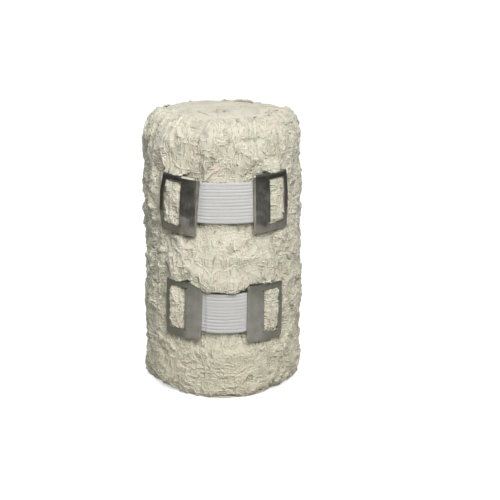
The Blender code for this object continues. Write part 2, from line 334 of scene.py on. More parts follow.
def spline_weights(share):
    """Weights of the four knots round a place, for a smooth curve near them."""
    rest = 1.0 - share
    return (
        rest**3 / 6.0,
        (3.0 * share**3 - 6.0 * share**2 + 4.0) / 6.0,
        (3.0 * rest**3 - 6.0 * rest**2 + 4.0) / 6.0,
        share**3 / 6.0,
    )


def smooth_noise(seed, x, y, cell_x, cell_y):
    """Smooth random values of about one unit, with a knot in each cell of the x, y plane."""
    x, y = np.broadcast_arrays(np.asarray(x, float) / cell_x, np.asarray(y, float) / cell_y)
    x = x - x.min() + 1.0
    y = y - y.min() + 1.0
    size = (int(x.max()) + 4, int(y.max()) + 4)
    knots = np.random.default_rng(seed).uniform(-KNOT_SPREAD, KNOT_SPREAD, size)
    column = x.astype(int)
    row = y.astype(int)
    total = np.zeros(x.shape)
    for i, weight_x in enumerate(spline_weights(x - column)):
        for j, weight_y in enumerate(spline_weights(y - row)):
            total += weight_x * weight_y * knots[column + i - 1, row + j - 1]
    return total


def strip_noise(seed, x, y, cell_x, cell_y):
    """The same noise for any points of the strip, whichever of them are asked for together."""
    noise = smooth_noise(seed, np.append(x, NOISE_ORIGIN), np.append(y, NOISE_ORIGIN), cell_x, cell_y)
    return noise[:-1].reshape(x.shape)


def wound_noise(seed, x, y, cell_x, cell_y):
    """Strip noise that runs on smoothly from the end of the outer turn to its start."""
    share = smooth_step((x - TURN_LENGTH + SEAM_BLEND) / SEAM_BLEND)
    ending = strip_noise(seed, x, y, cell_x, cell_y)
    starting = strip_noise(seed, np.maximum(x - TURN_LENGTH, NOISE_ORIGIN + 1.0), y, cell_x, cell_y)
    return (1.0 - share) * ending + share * starting


def wrap(azimuth):
    """The same azimuth, within half a turn of the front."""
    return (azimuth + math.pi) % FULL_TURN - math.pi


def points_at(azimuth, radius, height):
    """Points x, y, z at places on the roll."""
    return np.stack([radius * np.sin(azimuth), -radius * np.cos(azimuth), height], axis=-1)


def unit(vectors):
    return vectors / np.maximum(np.linalg.norm(vectors, axis=-1, keepdims=True), 1e-6)


def tree_of(*names):
    """A search tree over the faces of frame nodes."""
    corners, faces = [], []
    for name in names:
        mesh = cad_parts[name].data
        start = len(corners)
        corners += [vertex.co.copy() / MM for vertex in mesh.vertices]
        faces += [[start + index for index in face.vertices] for face in mesh.polygons]
    return BVHTree.FromPolygons(corners, faces)


def outward(azimuth):
    """The level direction away from the roll's axis at an azimuth."""
    return Vector((math.sin(azimuth), -math.cos(azimuth), 0.0))


class WoundSurface:
    """The outer turn of the roll, read from the frame: radius and height at any x, y of the strip."""

    COLUMNS = 240
    SIDE_ROWS = 96
    RIM_ROWS = 14
    ROWS = 161
    SMOOTHINGS = 3
    SEAM_CLEARANCE = 0.002

    def __init__(self):
        tree = tree_of("bandage_roll")
        turns = np.linspace(FREE_END_CLEARANCE, FULL_TURN - self.SEAM_CLEARANCE, self.COLUMNS)
        grid = np.array([self.profile(tree, FREE_END_AZIMUTH + turn) for turn in turns])
        for _ in range(self.SMOOTHINGS):
            grid[:, 1:-1] = (grid[:, :-2] + 2.0 * grid[:, 1:-1] + grid[:, 2:]) / 4.0
            grid[1:-1] = (grid[:-2] + 2.0 * grid[1:-1] + grid[2:]) / 4.0
        self.start = turns[0]
        self.step = turns[1] - turns[0]
        self.radius = grid[..., 0]
        self.height = grid[..., 1]
        climb = np.gradient(self.height, axis=1)
        lean = np.gradient(self.radius, axis=1)
        length = np.hypot(climb, lean)
        self.normal_out = climb / length
        self.normal_up = -lean / length

    def profile(self, tree, azimuth):
        """Evenly spaced (radius, height) points from the lower selvedge to the upper one."""
        direction = outward(azimuth)
        inset = ROLL_RADIUS - RIM_DEPTH
        low, high = RIM_DEPTH, CROWN_HEIGHT - RIM_DEPTH
        rays = [(inset, low, angle) for angle in np.linspace(LOWER_RIM_SPAN, 0.0, self.RIM_ROWS)]
        rays += [(0.0, height, 0.0) for height in np.linspace(low, high, self.SIDE_ROWS)[1:-1]]
        rays += [(inset, high, angle) for angle in np.linspace(0.0, UPPER_RIM_SPAN, self.RIM_ROWS)]
        points = []
        for radius, height, angle in rays:
            origin = direction * radius + Vector((0.0, 0.0, height))
            aim = direction * math.cos(angle) + Vector((0.0, 0.0, math.sin(angle)))
            place = tree.ray_cast(origin, aim)[0]
            points.append((math.hypot(place.x, place.y), place.z))
        points = np.array(points)
        lengths = np.concatenate([[0.0], np.cumsum(np.hypot(*np.diff(points, axis=0).T))])
        even = np.linspace(0.0, lengths[-1], self.ROWS)
        return np.stack([np.interp(even, lengths, points[:, i]) for i in (0, 1)], axis=1)

    def at(self, x, y):
        """Radius, height and outward direction (out, up) at a place of the outer turn."""
        column = (x / ROLL_RADIUS - self.start) / self.step
        column = np.clip(column, 0.0, self.COLUMNS - 1.001)
        row = np.clip(y / STRIP_WIDTH, 0.0, 1.0) * (self.ROWS - 1.001)
        i, j = column.astype(int), row.astype(int)
        a, b = column - i, row - j
        found = []
        for values in (self.radius, self.height, self.normal_out, self.normal_up):
            low = values[i, j] * (1.0 - b) + values[i, j + 1] * b
            high = values[i + 1, j] * (1.0 - b) + values[i + 1, j + 1] * b
            found.append(low * (1.0 - a) + high * a)
        return found


class ClipLimits:
    """How far out the cloth may come where a clip lies on it.

    FAR stands for no limit, and OUTSIDE is a radius well beyond the clips.
    """

    FAR = 1000.0
    OUTSIDE = 60.0
    AZIMUTH_SPAN = (math.radians(-64.0), math.radians(64.0))
    HEIGHT_SPAN = (12.0, 72.0)
    COLUMNS = 420
    ROWS = 260

    def __init__(self):
        tree = tree_of(*[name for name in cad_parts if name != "bandage_roll"])
        azimuths = np.linspace(*self.AZIMUTH_SPAN, self.COLUMNS)
        heights = np.linspace(*self.HEIGHT_SPAN, self.ROWS)
        inner = np.full((self.COLUMNS, self.ROWS), self.FAR)
        outer = np.zeros((self.COLUMNS, self.ROWS))
        for column, azimuth in enumerate(azimuths):
            direction = outward(azimuth)
            for row, height in enumerate(heights):
                middle = Vector((0.0, 0.0, height))
                distance = tree.ray_cast(middle, direction)[3]
                if distance is not None:
                    inner[column, row] = distance
                    outside = middle + direction * self.OUTSIDE
                    outer[column, row] = self.OUTSIDE - tree.ray_cast(outside, -direction)[3]
        shifts = [(x, y) for x in (-1, 0, 1) for y in (-1, 0, 1)]
        self.inner = np.min([np.roll(inner, shift, (0, 1)) for shift in shifts], axis=0)
        self.outer = np.max([np.roll(outer, shift, (0, 1)) for shift in shifts], axis=0)

    def keep_clear(self, azimuth, radius, height, margin, over=False):
        """Radii that stay under the clips, or above them where over is true."""
        azimuth = wrap(azimuth)
        column = (azimuth - self.AZIMUTH_SPAN[0]) / (self.AZIMUTH_SPAN[1] - self.AZIMUTH_SPAN[0])
        row = (height - self.HEIGHT_SPAN[0]) / (self.HEIGHT_SPAN[1] - self.HEIGHT_SPAN[0])
        near = (column >= 0.0) & (column <= 1.0) & (row >= 0.0) & (row <= 1.0)
        i = np.clip(np.rint(column * (self.COLUMNS - 1)).astype(int), 0, self.COLUMNS - 1)
        j = np.clip(np.rint(row * (self.ROWS - 1)).astype(int), 0, self.ROWS - 1)
        under = np.minimum(radius, np.where(near, self.inner[i, j], self.FAR) - margin)
        floor = np.where(near & (self.outer[i, j] > 0.0), self.outer[i, j] + margin, 0.0)
        return np.where(over, np.maximum(radius, floor), under)


def rolled_surface(x, y):
    """The outer turn's surface, with its upper edge turned in over the roll's end at the front."""
    azimuth = np.abs(wrap(x / ROLL_RADIUS + FREE_END_AZIMUTH))
    amount = rise(azimuth, *TURN_IN_SPAN)
    unevenness = TURN_IN_UNEVENNESS * strip_noise(TURN_IN_SEED, x, y * 0.0, 7.0, 50.0)
    spread = TURN_IN_SPREAD * amount * (1.0 + unevenness)
    spread_y = y + spread * np.maximum(y - TURN_IN_START, 0.0)
    flat = surface.at(x, y)
    side = surface.at(x, np.minimum(spread_y, TURN_IN_BEND))
    start = np.arctan2(side[3], side[2])
    bend = np.maximum(spread_y - TURN_IN_BEND, 0.0) / TURN_IN_RADIUS
    lean = np.minimum(start + bend, np.maximum(TURN_IN_LEAN, start))
    beyond = (start + bend - lean) * TURN_IN_RADIUS
    radius = side[0] - TURN_IN_RADIUS * (np.cos(start) - np.cos(lean)) - beyond * np.sin(lean)
    height = side[1] + TURN_IN_RADIUS * (np.sin(lean) - np.sin(start)) + beyond * np.cos(lean)
    height = height + TURN_IN_LIFT * rise(y, TURN_IN_START, TURN_IN_BEND)
    out, up = np.cos(lean), np.sin(lean)
    return [low * (1.0 - amount) + high * amount for low, high in zip(flat, (radius, height, out, up))]


def inside(patch, azimuth, height, sharpness=PATCH_SHARPNESS, size=PATCH_SIZE):
    """1 in a patch of the roll's side, 0 away from it."""
    beside = np.abs(azimuth - math.radians(patch["azimuth"])) / math.radians(patch["half_azimuth"])
    above = np.abs(height - patch["height"]) / patch["half_height"]
    return smooth_step((size - beside) * sharpness) * smooth_step((size - above) * sharpness)


def pillows(swells, azimuth, height, sharpness):
    """Rise of the cloth over flat-topped swells with steep or gentle sides."""
    return sum(swell["rise"] * inside(swell, azimuth, height, sharpness, 1.0) for swell in swells)


def crease_depth(azimuth, height):
    """How far the creases draw the cloth in at each place."""
    total = 0.0
    across = azimuth * ROLL_RADIUS
    for crease in CREASES:
        start, end = (math.radians(value) * ROLL_RADIUS for value in crease["azimuths"])
        low, high = crease["heights"]
        run, climb = end - start, high - low
        share = ((across - start) * run + (height - low) * climb) / (run * run + climb * climb)
        share = np.clip(share, 0.0, 1.0)
        away = np.hypot(across - start - share * run, height - low - share * climb)
        fade = smooth_step(4.0 * np.minimum(share, 1.0 - share) + 0.3)
        total += crease["depth"] * fade * np.exp(-((away / crease["width"]) ** 2))
    return total


def rim_swell(azimuth, y):
    """Rise of the cloth where it is fuller or slacker towards the rims."""
    total = 0.0
    for swell in RIM_SWELLS:
        beside = wrap(azimuth - math.radians(swell["azimuth"])) / math.radians(swell["width"])
        total += swell["rise"] * np.exp(-(beside**2) - ((y - swell["y"]) / swell["tall"]) ** 2)
    return total


def liveliness(azimuth, height):
    """Strength of the fine and the bold squiggles: least where the clips pull the front smooth."""
    left = smooth_step((-azimuth - LEFT_START) / LEFT_RUN)
    left = left * (0.55 + 0.45 * smooth_step((height - 14.0) / 12.0))
    right = smooth_step((azimuth - RIGHT_START) / RIGHT_RUN)
    middle = np.exp(-(((height - 45.0) / 11.0) ** 2))
    pulled = 1.0 - 0.5 * inside(CALM_PATCH, azimuth, height)
    found = []
    for row in STRENGTHS:
        on_left = (row["left"] + row["middle"] * middle) * left
        found.append((row["front"] + on_left + row["right"] * right) * pulled)
    return found


def ridges(squiggles, x, y):
    """Thin curled ridges along the level lines of smooth noise, broken off here and there."""
    total = 0.0
    cells = SQUIGGLE_BREAK_CELL, SQUIGGLE_BREAK_CELL
    for squiggle in squiggles:
        level = wound_noise(squiggle["seed"], x, y, squiggle["cell_x"], squiggle["cell_y"])
        breaks = wound_noise(squiggle["seed"] + BREAK_SEED_SHIFT, x, y, *cells)
        kept = 0.35 + 0.65 * smooth_step(breaks / 0.6 + 0.7)
        total += squiggle["rise"] * (kept * np.exp(-((level / squiggle["width"]) ** 2)) - 0.3)
    return total


def pits(x, y):
    """1 in the small gaps that open between crowded yarns, 0 elsewhere."""
    return smooth_step((wound_noise(PIT_SEED, x, y, 0.95, 1.2) - 0.62) / 0.45)


def overhang(azimuth, height):
    """Shift outwards, shift down, and whether the cloth lies over a plate there."""
    out, drop, over = 0.0, 0.0, False
    for fold in OVERHANGS:
        start, full, ebb, end = (math.radians(value) for value in fold["span"])
        share = rise(azimuth, start, full) * rise(azimuth, end, ebb)
        above = height - fold["edge"]
        swollen = smooth_step((above + 0.2) / 0.9) * smooth_step((5.5 - above) / 4.0)
        out += fold["out"] * share * swollen
        drop += fold["drop"] * share * (smooth_step(above - 0.1) * rise(above, fold["reach"], 1.3))
        over |= (above > 0.35) & (above < 5.0) & (share > 0.25)
    return out, drop, over


def place_cloth(x, y, relief, depth, margin):
    """Points of the outer turn at a depth below its surface, crinkled and clear of the clips.

    With them comes how far each place rises on a squiggle, or sinks between them, where the cotton gets
    painted shade.
    """
    along, across, swell = 0.0, 0.0, 0.0
    for crinkle in CRINKLES:
        cells = crinkle["cell_x"], crinkle["cell_y"]
        along += crinkle["along"] * wound_noise(crinkle["seed"], x, y, *cells)
        across += crinkle["across"] * wound_noise(crinkle["seed"] + 100, x, y, *cells)
        swell += crinkle["out"] * wound_noise(crinkle["seed"] + 200, x, y, *cells)
    at_edge = smooth_step(y / EDGE_HOLD) * smooth_step((STRIP_WIDTH - y) / EDGE_HOLD)
    at_free_end = 0.3 + 0.7 * smooth_step(x / FREE_END_HOLD)
    moved_x = x + along * at_free_end
    moved_y = y + across * at_edge
    radius, height, normal_out, normal_up = rolled_surface(moved_x, moved_y)
    azimuth = moved_x / ROLL_RADIUS + FREE_END_AZIMUTH
    wrapped = wrap(azimuth)
    fine, bold = liveliness(wrapped, height)
    swell *= 1.0 - 0.75 * inside(CALM_PATCH, wrapped, height)
    swell *= 1.0 - 0.50 * inside(EVEN_PATCH, wrapped, height)
    bulge = pillows(WINDOW_BULGES, wrapped, height, BULGE_SHARPNESS)
    bold *= 1.0 - 0.8 * bulge
    squiggle = fine * ridges(FINE_SQUIGGLES, x, y) + bold * ridges(BOLD_SQUIGGLES, x, y)
    squiggle -= PIT_DEPTH * pits(x, y)
    swell += squiggle + relief * (0.2 + 0.7 * fine)
    swell -= FREE_END_PRESS * (1.0 - smooth_step(x / FREE_END_RUN))
    swell -= SEAM_DIP * smooth_step((x - TURN_LENGTH + 0.5) / SEAM_RUN)
    fold_out, fold_drop, over = overhang(wrapped, height)
    out = swell - depth + bulge - crease_depth(wrapped, height) * (1.0 - bulge)
    out = out + pillows(BAR_SWELLS, wrapped, height, BAR_SWELL_SHARPNESS)
    out = out + rim_swell(azimuth, y) + fold_out
    radius = radius + out * normal_out
    height = height + out * normal_up - fold_drop
    radius = clips.keep_clear(azimuth, radius, height, margin, over)
    return points_at(azimuth, radius, height), squiggle


def add_mesh(name, points, quads, material, attributes=None):
    """A mesh piece of four-sided faces from arrays, in millimetres."""
    mesh = bpy.data.meshes.new(name)
    mesh.vertices.add(points.size // 3)
    mesh.vertices.foreach_set("co", (np.asarray(points, np.float32) * MM).ravel())
    quads = np.asarray(quads, np.int32)
    mesh.loops.add(quads.size)
    mesh.loops.foreach_set("vertex_index", quads.ravel())
    mesh.polygons.add(len(quads))
    mesh.polygons.foreach_set("loop_start", np.arange(0, quads.size, 4, dtype=np.int32))
    mesh.polygons.foreach_set("use_smooth", np.ones(len(quads), bool))
    mesh.update(calc_edges=True)
    for attribute, values in (attributes or {}).items():
        layer = mesh.attributes.new(attribute, "FLOAT", "POINT")
        layer.data.foreach_set("value", np.asarray(values, np.float32).ravel())
    mesh.materials.append(material)
    piece = bpy.data.objects.new(name, mesh)
    bpy.context.scene.collection.objects.link(piece)
    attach(piece, "root")
    return piece


def add_cloth(*parts):
    """A mesh piece of the crepe."""
    piece = add_mesh(*parts)
    return piece


def grid_quads(columns, rows):
    """Quads of a sheet whose points come column by column."""
    first = (np.arange(columns - 1)[:, None] * rows + np.arange(rows - 1)).ravel()
    return np.stack([first, first + rows, first + rows + 1, first + 1], axis=-1)


def ring_quads(rings, sides):
    """Quads between closed rings of points, which face outwards where the rings are stacked up."""
    ring = np.arange(sides)
    following = (ring + 1) % sides
    first = np.arange(rings - 1)[:, None] * sides
    corners = [first + ring, first + following, first + sides + following, first + sides + ring]
    return np.stack(corners, axis=-1).reshape(-1, 4)


def tube_faces(rows):
    """Quads of one four-sided tube with closed ends."""
    ring = np.arange(4)
    caps = np.array([ring[::-1], ring + (rows - 1) * 4])
    return np.concatenate([ring_quads(rows, 4), caps])


def yarn_tubes(lines, half_width, half_thickness, lengths):
    """Flattened four-sided tubes round lines [yarn, point, xyz], with their quads and ply phases."""
    count, rows, _ = lines.shape
    tangent = unit(np.gradient(lines, axis=1))
    sideways = unit(np.cross(tangent, unit(lines * (1.0, 1.0, 0.0))))
    normal = np.cross(sideways, tangent)
    rings = []
    for corner in range(4):
        angle = math.pi * (corner / 2.0 + 1.5)
        side = math.cos(angle) * half_width[..., None] * sideways
        lift = math.sin(angle) * half_thickness[..., None] * normal
        rings.append(lines + side + lift)
    points = np.stack(rings, axis=2)
    single = tube_faces(rows)
    quads = (single[None] + (np.arange(count) * rows * 4)[:, None, None]).reshape(-1, 4)
    phase = lengths[..., None] / PLY_PITCH + np.arange(4) / 2.0
    return points, quads, np.broadcast_to(phase, (count, rows, 4)).ravel()


def per_yarn_noise(seed, count, places, cell):
    """A separate smooth random curve for each yarn, along its own length."""
    far_apart = np.arange(count)[:, None] * 40.0
    return smooth_noise(seed, np.broadcast_to(places, (count, len(places))), far_apart, cell, 10.0)


def make_yarns(material):
    """The woven yarns of the outer turn, each set as two pieces."""
    pieces = []
    weft_x = (np.arange(WEFT_COUNT) + 0.5) * TURN_LENGTH / WEFT_COUNT
    weft_y = np.linspace(0.0, STRIP_WIDTH, WEFT_POINTS)
    warp_y = (np.arange(WARP_COUNT) + 0.5) / WARP_COUNT * (STRIP_WIDTH + WARP_CROWDING)
    crowding = 1.0 + WARP_CROWDING / (STRIP_WIDTH - TURN_IN_START)
    crowded = TURN_IN_START + (warp_y - TURN_IN_START) / crowding
    warp_y = np.where(warp_y > TURN_IN_START, crowded, warp_y)
    warp_x = np.linspace(-0.5, TURN_LENGTH + 0.4, WARP_POINTS)
    margin = YARN_HALF_THICKNESS + YARN_CLEARANCE
    for kind, starts, places, crossings in (
        ("weft", weft_x, weft_y, WARP_COUNT / STRIP_WIDTH),
        ("warp", warp_y, warp_x, WEFT_COUNT / TURN_LENGTH),
    ):
        seed = YARN_SEEDS[kind]
        count = len(starts)
        wander = YARN_WANDER[kind] * per_yarn_noise(seed, count, places, 1.5)
        lift = YARN_LIFT[kind] * per_yarn_noise(seed + 1, count, places, 1.4)
        parity = np.arange(count)[:, None] * math.pi + (math.pi if kind == "warp" else 0.0)
        over = INTERLACE_RISE * np.sin(math.pi * places[None, :] * crossings + parity)
        fixed = starts[:, None] + wander
        running = np.broadcast_to(places, fixed.shape)
        x, y = (fixed, running) if kind == "weft" else (running, fixed)
        lines, squiggle = place_cloth(x, y, over + lift, YARN_DEPTH[kind], margin)
        swell = 1.0 + 0.22 * per_yarn_noise(seed + 2, count, places, 1.2)
        tone = np.random.default_rng(seed + 3).normal(0.0, 1.0, (count, 1))
        tone = tone + 0.6 * per_yarn_noise(seed + 4, count, places, 9.0)
        for name, part in zip(("a", "b"), np.array_split(np.arange(count), 2)):
            points, quads, phase = yarn_tubes(
                lines[part], YARN_HALF_WIDTH * swell[part], YARN_HALF_THICKNESS * swell[part], places
            )
            attributes = {
                "ply": phase,
                "tone": np.repeat(tone[part], 4),
                "squiggle": np.repeat(squiggle[part], 4),
            }
            pieces.append(add_cloth(f"crepe_{kind}_{name}", points, quads, material, attributes))
    return pieces


def turn_depth(theta):
    """How deep a place of the strip lies behind the roll's outer surface at that azimuth."""
    turn = np.floor(theta / FULL_TURN)
    share = theta / FULL_TURN - turn
    inner = FREE_END_STEP + TURN_PITCH * (turn - 1.0) + (TURN_PITCH - FREE_END_STEP) * share
    return np.where(turn < 1.0, 0.0, inner)


def crown_height(radius, azimuth):
    """How far the roll's upper end rises above its rim, with soft lumps where turns were pushed."""
    x, y = 30.0 + radius * np.cos(azimuth), 30.0 + radius * np.sin(azimuth)
    dome = CROWN_RISE * (0.85 - (radius / ROLL_RADIUS) ** 2)
    return dome + CROWN_LUMPS * strip_noise(CROWN_LUMP_SEED, x, y, 5.0, 5.0)


def place_strip(theta, y, out):
    """Points of the whole wound strip: the outer turn follows the roll's form and the rest nest in it."""
    narrow, broad, edge_broad, edge_narrow = STRIP_SEEDS
    x = theta * ROLL_RADIUS
    depth = turn_depth(theta)
    radius, height, _, _ = surface.at(x % TURN_LENGTH, y)
    radius = radius * (1.0 - depth / ROLL_RADIUS) - FREE_END_PRESS * (1.0 - smooth_step(x / FREE_END_RUN))
    crinkle = 0.20 * strip_noise(narrow, x, y, 1.3, 7.0) + 0.14 * strip_noise(broad, x, y, 3.4, 9.0)
    radius = radius + out + crinkle
    near_edge = smooth_step((np.abs(y / STRIP_WIDTH - 0.5) - 0.40) / 0.10)
    level = np.where(y > STRIP_WIDTH / 2.0, 1.0, 0.0)
    azimuth = theta + FREE_END_AZIMUTH
    crown = crown_height(radius, azimuth)
    uneven = 0.24 * strip_noise(edge_broad, x, y * 0.0, 14.0, 50.0)
    uneven = uneven + 0.12 * strip_noise(edge_narrow, x, y * 0.0, 1.7, 50.0)
    uneven = np.where(y > STRIP_WIDTH / 2.0, uneven + 0.30, np.maximum(0.4 * uneven, -height * 0.5))
    tucked = OUTER_TUCK * level * (1.0 - smooth_step((depth - 0.6) / 1.2))
    height = height + near_edge * (crown * level + uneven - tucked)
    radius = clips.keep_clear(azimuth, np.maximum(radius, 0.5), height, BACKING_MARGIN)
    return points_at(azimuth, radius, height)


def winding(step):
    """Turned angles along the whole strip, about one step apart on the cloth."""
    thetas = [0.0]
    radius = ROLL_RADIUS
    while radius > INNER_RADIUS:
        thetas.append(thetas[-1] + step / radius)
        radius = ROLL_RADIUS - float(turn_depth(np.array(thetas[-1])))
    return np.array(thetas)


def make_strip(material):
    """The whole strip behind the outer yarns, as one open sheet wound from the free end inwards."""
    theta = winding(STRIP_STEP)
    edge_rows = (0.0, 1.2, 2.6, 5.0)
    rows = [*edge_rows, *np.linspace(9.0, 71.0, 9), *[STRIP_WIDTH - y for y in reversed(edge_rows)]]
    theta_grid, y_grid = np.meshgrid(theta, rows, indexing="ij")
    sag = BACKING_SAG * smooth_step((np.minimum(y_grid, STRIP_WIDTH - y_grid) - 0.8) / 3.0)
    points = place_strip(theta_grid, y_grid, -BACKING_DEPTH - sag)
    strip = add_cloth("crepe_strip", points, grid_quads(len(theta), len(rows)), material)
    return strip, STRIP_STEP * (len(theta) - 1)


def make_ground(material):
    """The fuzz between the yarns of the outer turn, just under their middles."""
    columns, rows = GROUND_GRID
    x = np.linspace(0.0, TURN_LENGTH + 2.0, columns)
    y = np.linspace(0.2, STRIP_WIDTH - 0.2, rows)
    x_grid, y_grid = np.meshgrid(x, y, indexing="ij")
    relief = 0.10 * strip_noise(GROUND_SEED, x_grid, y_grid, 1.3, 1.3)
    points, squiggle = place_cloth(x_grid, y_grid, relief, GROUND_DEPTH, GROUND_DEPTH)
    return add_cloth("crepe_ground", points, grid_quads(columns, rows), material, {"squiggle": squiggle})


def make_crown(material):
    """The fuzz between the turns at the roll's upper end, just under the selvedges."""
    rings, sides = CROWN_FILL_GRID
    radii = np.linspace(INNER_RADIUS + 0.4, CROWN_FILL_RADIUS, rings)
    angles = np.linspace(0.0, FULL_TURN, sides, endpoint=False)
    radius, angle = np.meshgrid(radii, angles, indexing="ij")
    fuzz = smooth_noise(CROWN_FUZZ_SEED, radius * np.cos(angle), radius * np.sin(angle), 1.3, 1.3)
    height = CROWN_HEIGHT + crown_height(radius, angle) - CROWN_FILL_DEPTH + 0.16 * fuzz
    height = height - 0.5 * smooth_step((radius - 17.5) / 3.0)
    height[0] -= 1.5
    points = points_at(angle, radius, height)
    return add_cloth("crepe_crown", points, ring_quads(rings, sides)[:, FLIPPED], material)


def make_selvedges(material):
    """Crinkled edge yarns that run the strip's whole length, two above and one below."""
    pieces = []
    for edge in SELVEDGES:
        theta = winding(edge["step"])
        length = theta * ROLL_RADIUS
        wander, dip, swell, tone = (
            amount * smooth_noise(edge["seed"] + shift, length, 0.0, cell, 10.0)
            for shift, (amount, cell) in enumerate(SELVEDGE_NOISES)
        )
        line = place_strip(theta, edge["y"] + dip, edge["out"] + wander)[None]
        swell = 1.0 + swell[None]
        width, thickness = SELVEDGE_HALF_WIDTH * swell, SELVEDGE_HALF_THICKNESS * swell
        points, quads, phase = yarn_tubes(line, width, thickness, length)
        attributes = {"ply": phase, "tone": np.repeat(tone, 4)}
        pieces.append(add_cloth(edge["name"], points, quads, material, attributes))
    return pieces


class ElasticForm:
    """A clip's elastic, read from its frame node: azimuth span, middle height, radii and height."""

    SAME_AZIMUTH = 0.002

    def __init__(self, node):
        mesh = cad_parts[node].data
        places = np.array([vertex.co for vertex in mesh.vertices]) / MM
        azimuths = np.arctan2(places[:, 0], -places[:, 1])
        radii = np.hypot(places[:, 0], places[:, 1])
        self.span = (azimuths.min(), azimuths.max())
        self.azimuths = np.unique(np.round(azimuths, 3))
        self.middles, self.inner, self.outer = [], [], []
        for azimuth in self.azimuths:
            here = np.abs(azimuths - azimuth) < self.SAME_AZIMUTH
            self.middles.append(places[here, 2].mean())
            self.inner.append(radii[here].min())
            self.outer.append(radii[here].max())
        self.tall = np.ptp(places[np.abs(azimuths - self.azimuths[0]) < self.SAME_AZIMUTH, 2])

    def at(self, azimuth):
        """Middle height, inner radius and outer radius at azimuths."""
        measures = (self.middles, self.inner, self.outer)
        return [np.interp(azimuth, self.azimuths, measure) for measure in measures]


def make_elastic(clip, seed, material):
    """Flat woven elastic: round covered strands side by side, closed all round."""
    node = f"{clip}_elastic"
    form = ElasticForm(node)
    count, rows = ELASTIC_COLUMNS, RIBS * ROWS_PER_RIB + 1
    azimuth = np.linspace(*form.span, count)
    azimuth_grid, up_grid = np.meshgrid(azimuth, np.linspace(-0.5, 0.5, rows), indexing="ij")
    middle, inner, outer = (measure[:, None] for measure in form.at(azimuth))
    along = (azimuth_grid - azimuth[0]) * outer
    rib_phase = (up_grid + 0.5) * RIBS
    rib = np.abs(np.sin(math.pi * rib_phase)) ** RIB_ROUNDNESS
    thickness = outer - inner
    unevenness = 0.05 * smooth_noise(seed, along, rib_phase, 3.0, 1.0)
    beads = 0.03 * np.cos(FULL_TURN * (along / BEAD_PITCH + 0.5 * np.floor(rib_phase)))
    grooves = 0.13 + 0.06 * smooth_noise(seed + 2, along, np.rint(rib_phase) * 2.0, 30.0, 1.0)
    front = outer - (1.0 - rib) * grooves * thickness + (unevenness + beads) * rib
    height = middle + up_grid * form.tall + 0.06 * smooth_noise(seed + 1, along, rib_phase, 4.0, 1.6)
    back = inner + (1.0 - rib) * 0.2 * thickness
    points = np.stack([points_at(azimuth_grid, radius, height) for radius in (front, back)])
    facing = grid_quads(count, rows)
    behind = count * rows
    numbers = np.arange(behind).reshape(count, rows)
    border = np.concatenate([numbers[:, 0], numbers[-1, 1:], numbers[-2::-1, -1], numbers[0, -2:0:-1]])
    following = np.roll(border, -1)
    rim = np.stack([border + behind, following + behind, following, border], axis=-1)
    faces = np.concatenate([facing, facing[:, ::-1] + behind, rim])
    piece = add_mesh(f"{clip}_webbing", points, faces, material)
    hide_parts(node)


class Nodes:
    """Shorthand for building one material's node tree."""

    def __init__(self, name):
        self.material = bpy.data.materials.new(name)
        self.material.use_nodes = True
        self.tree = self.material.node_tree
        self.shader = self.tree.nodes["Principled BSDF"]

    def add(self, kind, inputs=(), **settings):
        node = self.tree.nodes.new(kind)
        for setting, value in settings.items():
            setattr(node, setting, value)
        for socket, value in dict(inputs).items():
            self.feed(node.inputs[socket], value)
        return node

    def feed(self, socket, value):
        if isinstance(value, bpy.types.NodeSocket):
            self.tree.links.new(value, socket)
        else:
            socket.default_value = (*value, 1.0) if socket.type == "RGBA" else value

    def place(self):
        return self.add("ShaderNodeTexCoord").outputs["Object"]

    def split_place(self):
        return self.add("ShaderNodeSeparateXYZ", {0: self.place()}).outputs

    def attribute(self, name):
        return self.add("ShaderNodeAttribute", attribute_name=name).outputs["Fac"]

    def noise(self, scale, detail, vector=None):
        """Noise with so many cells a metre."""
        inputs = {"Vector": vector or self.place(), "Scale": scale, "Detail": detail}
        return self.add("ShaderNodeTexNoise", inputs).outputs["Fac"]

    def stretched(self, factors):
        node = self.add("ShaderNodeMapping", {"Vector": self.place(), "Scale": factors})
        return node.outputs["Vector"]

    def ramp(self, value, low, high, start=0.0, end=1.0):
        """From low, where the value is at the start, to high, where it is at the end."""
        inputs = {"Value": value, "From Min": start, "From Max": end, "To Min": low, "To Max": high}
        return self.add("ShaderNodeMapRange", inputs).outputs["Result"]

    def math(self, operation, first, second=0.0):
        return self.add("ShaderNodeMath", {0: first, 1: second}, operation=operation).outputs[0]

    def azimuth(self, place):
        """How far round from the front, on either side, in radians."""
        back = self.math("MULTIPLY", place["Y"], -1.0)
        return self.math("ABSOLUTE", self.math("ARCTAN2", place["X"], back))

    def line(self, value, slope_and_start):
        slope, start = (float(number) for number in slope_and_start)
        return self.math("ADD", self.math("MULTIPLY", value, slope), start)

    def mix(self, factor, first, second):
        node = self.add("ShaderNodeMix", data_type="RGBA")
        self.feed(node.inputs[0], factor)
        self.feed(node.inputs[6], first)
        self.feed(node.inputs[7], second)
        return node.outputs[2]

    def bump(self, height, distance, strength=1.0, normal=None):
        inputs = {"Height": height, "Distance": distance, "Strength": strength}
        if normal is not None:
            inputs["Normal"] = normal
        return self.add("ShaderNodeBump", inputs).outputs["Normal"]

    def finish(self, **sockets):
        """Link or set the shader's sockets, named with _ for each space, and hand over the material."""
        for socket, value in sockets.items():
            self.feed(self.shader.inputs[socket.replace("_", " ")], value)
        return self.material


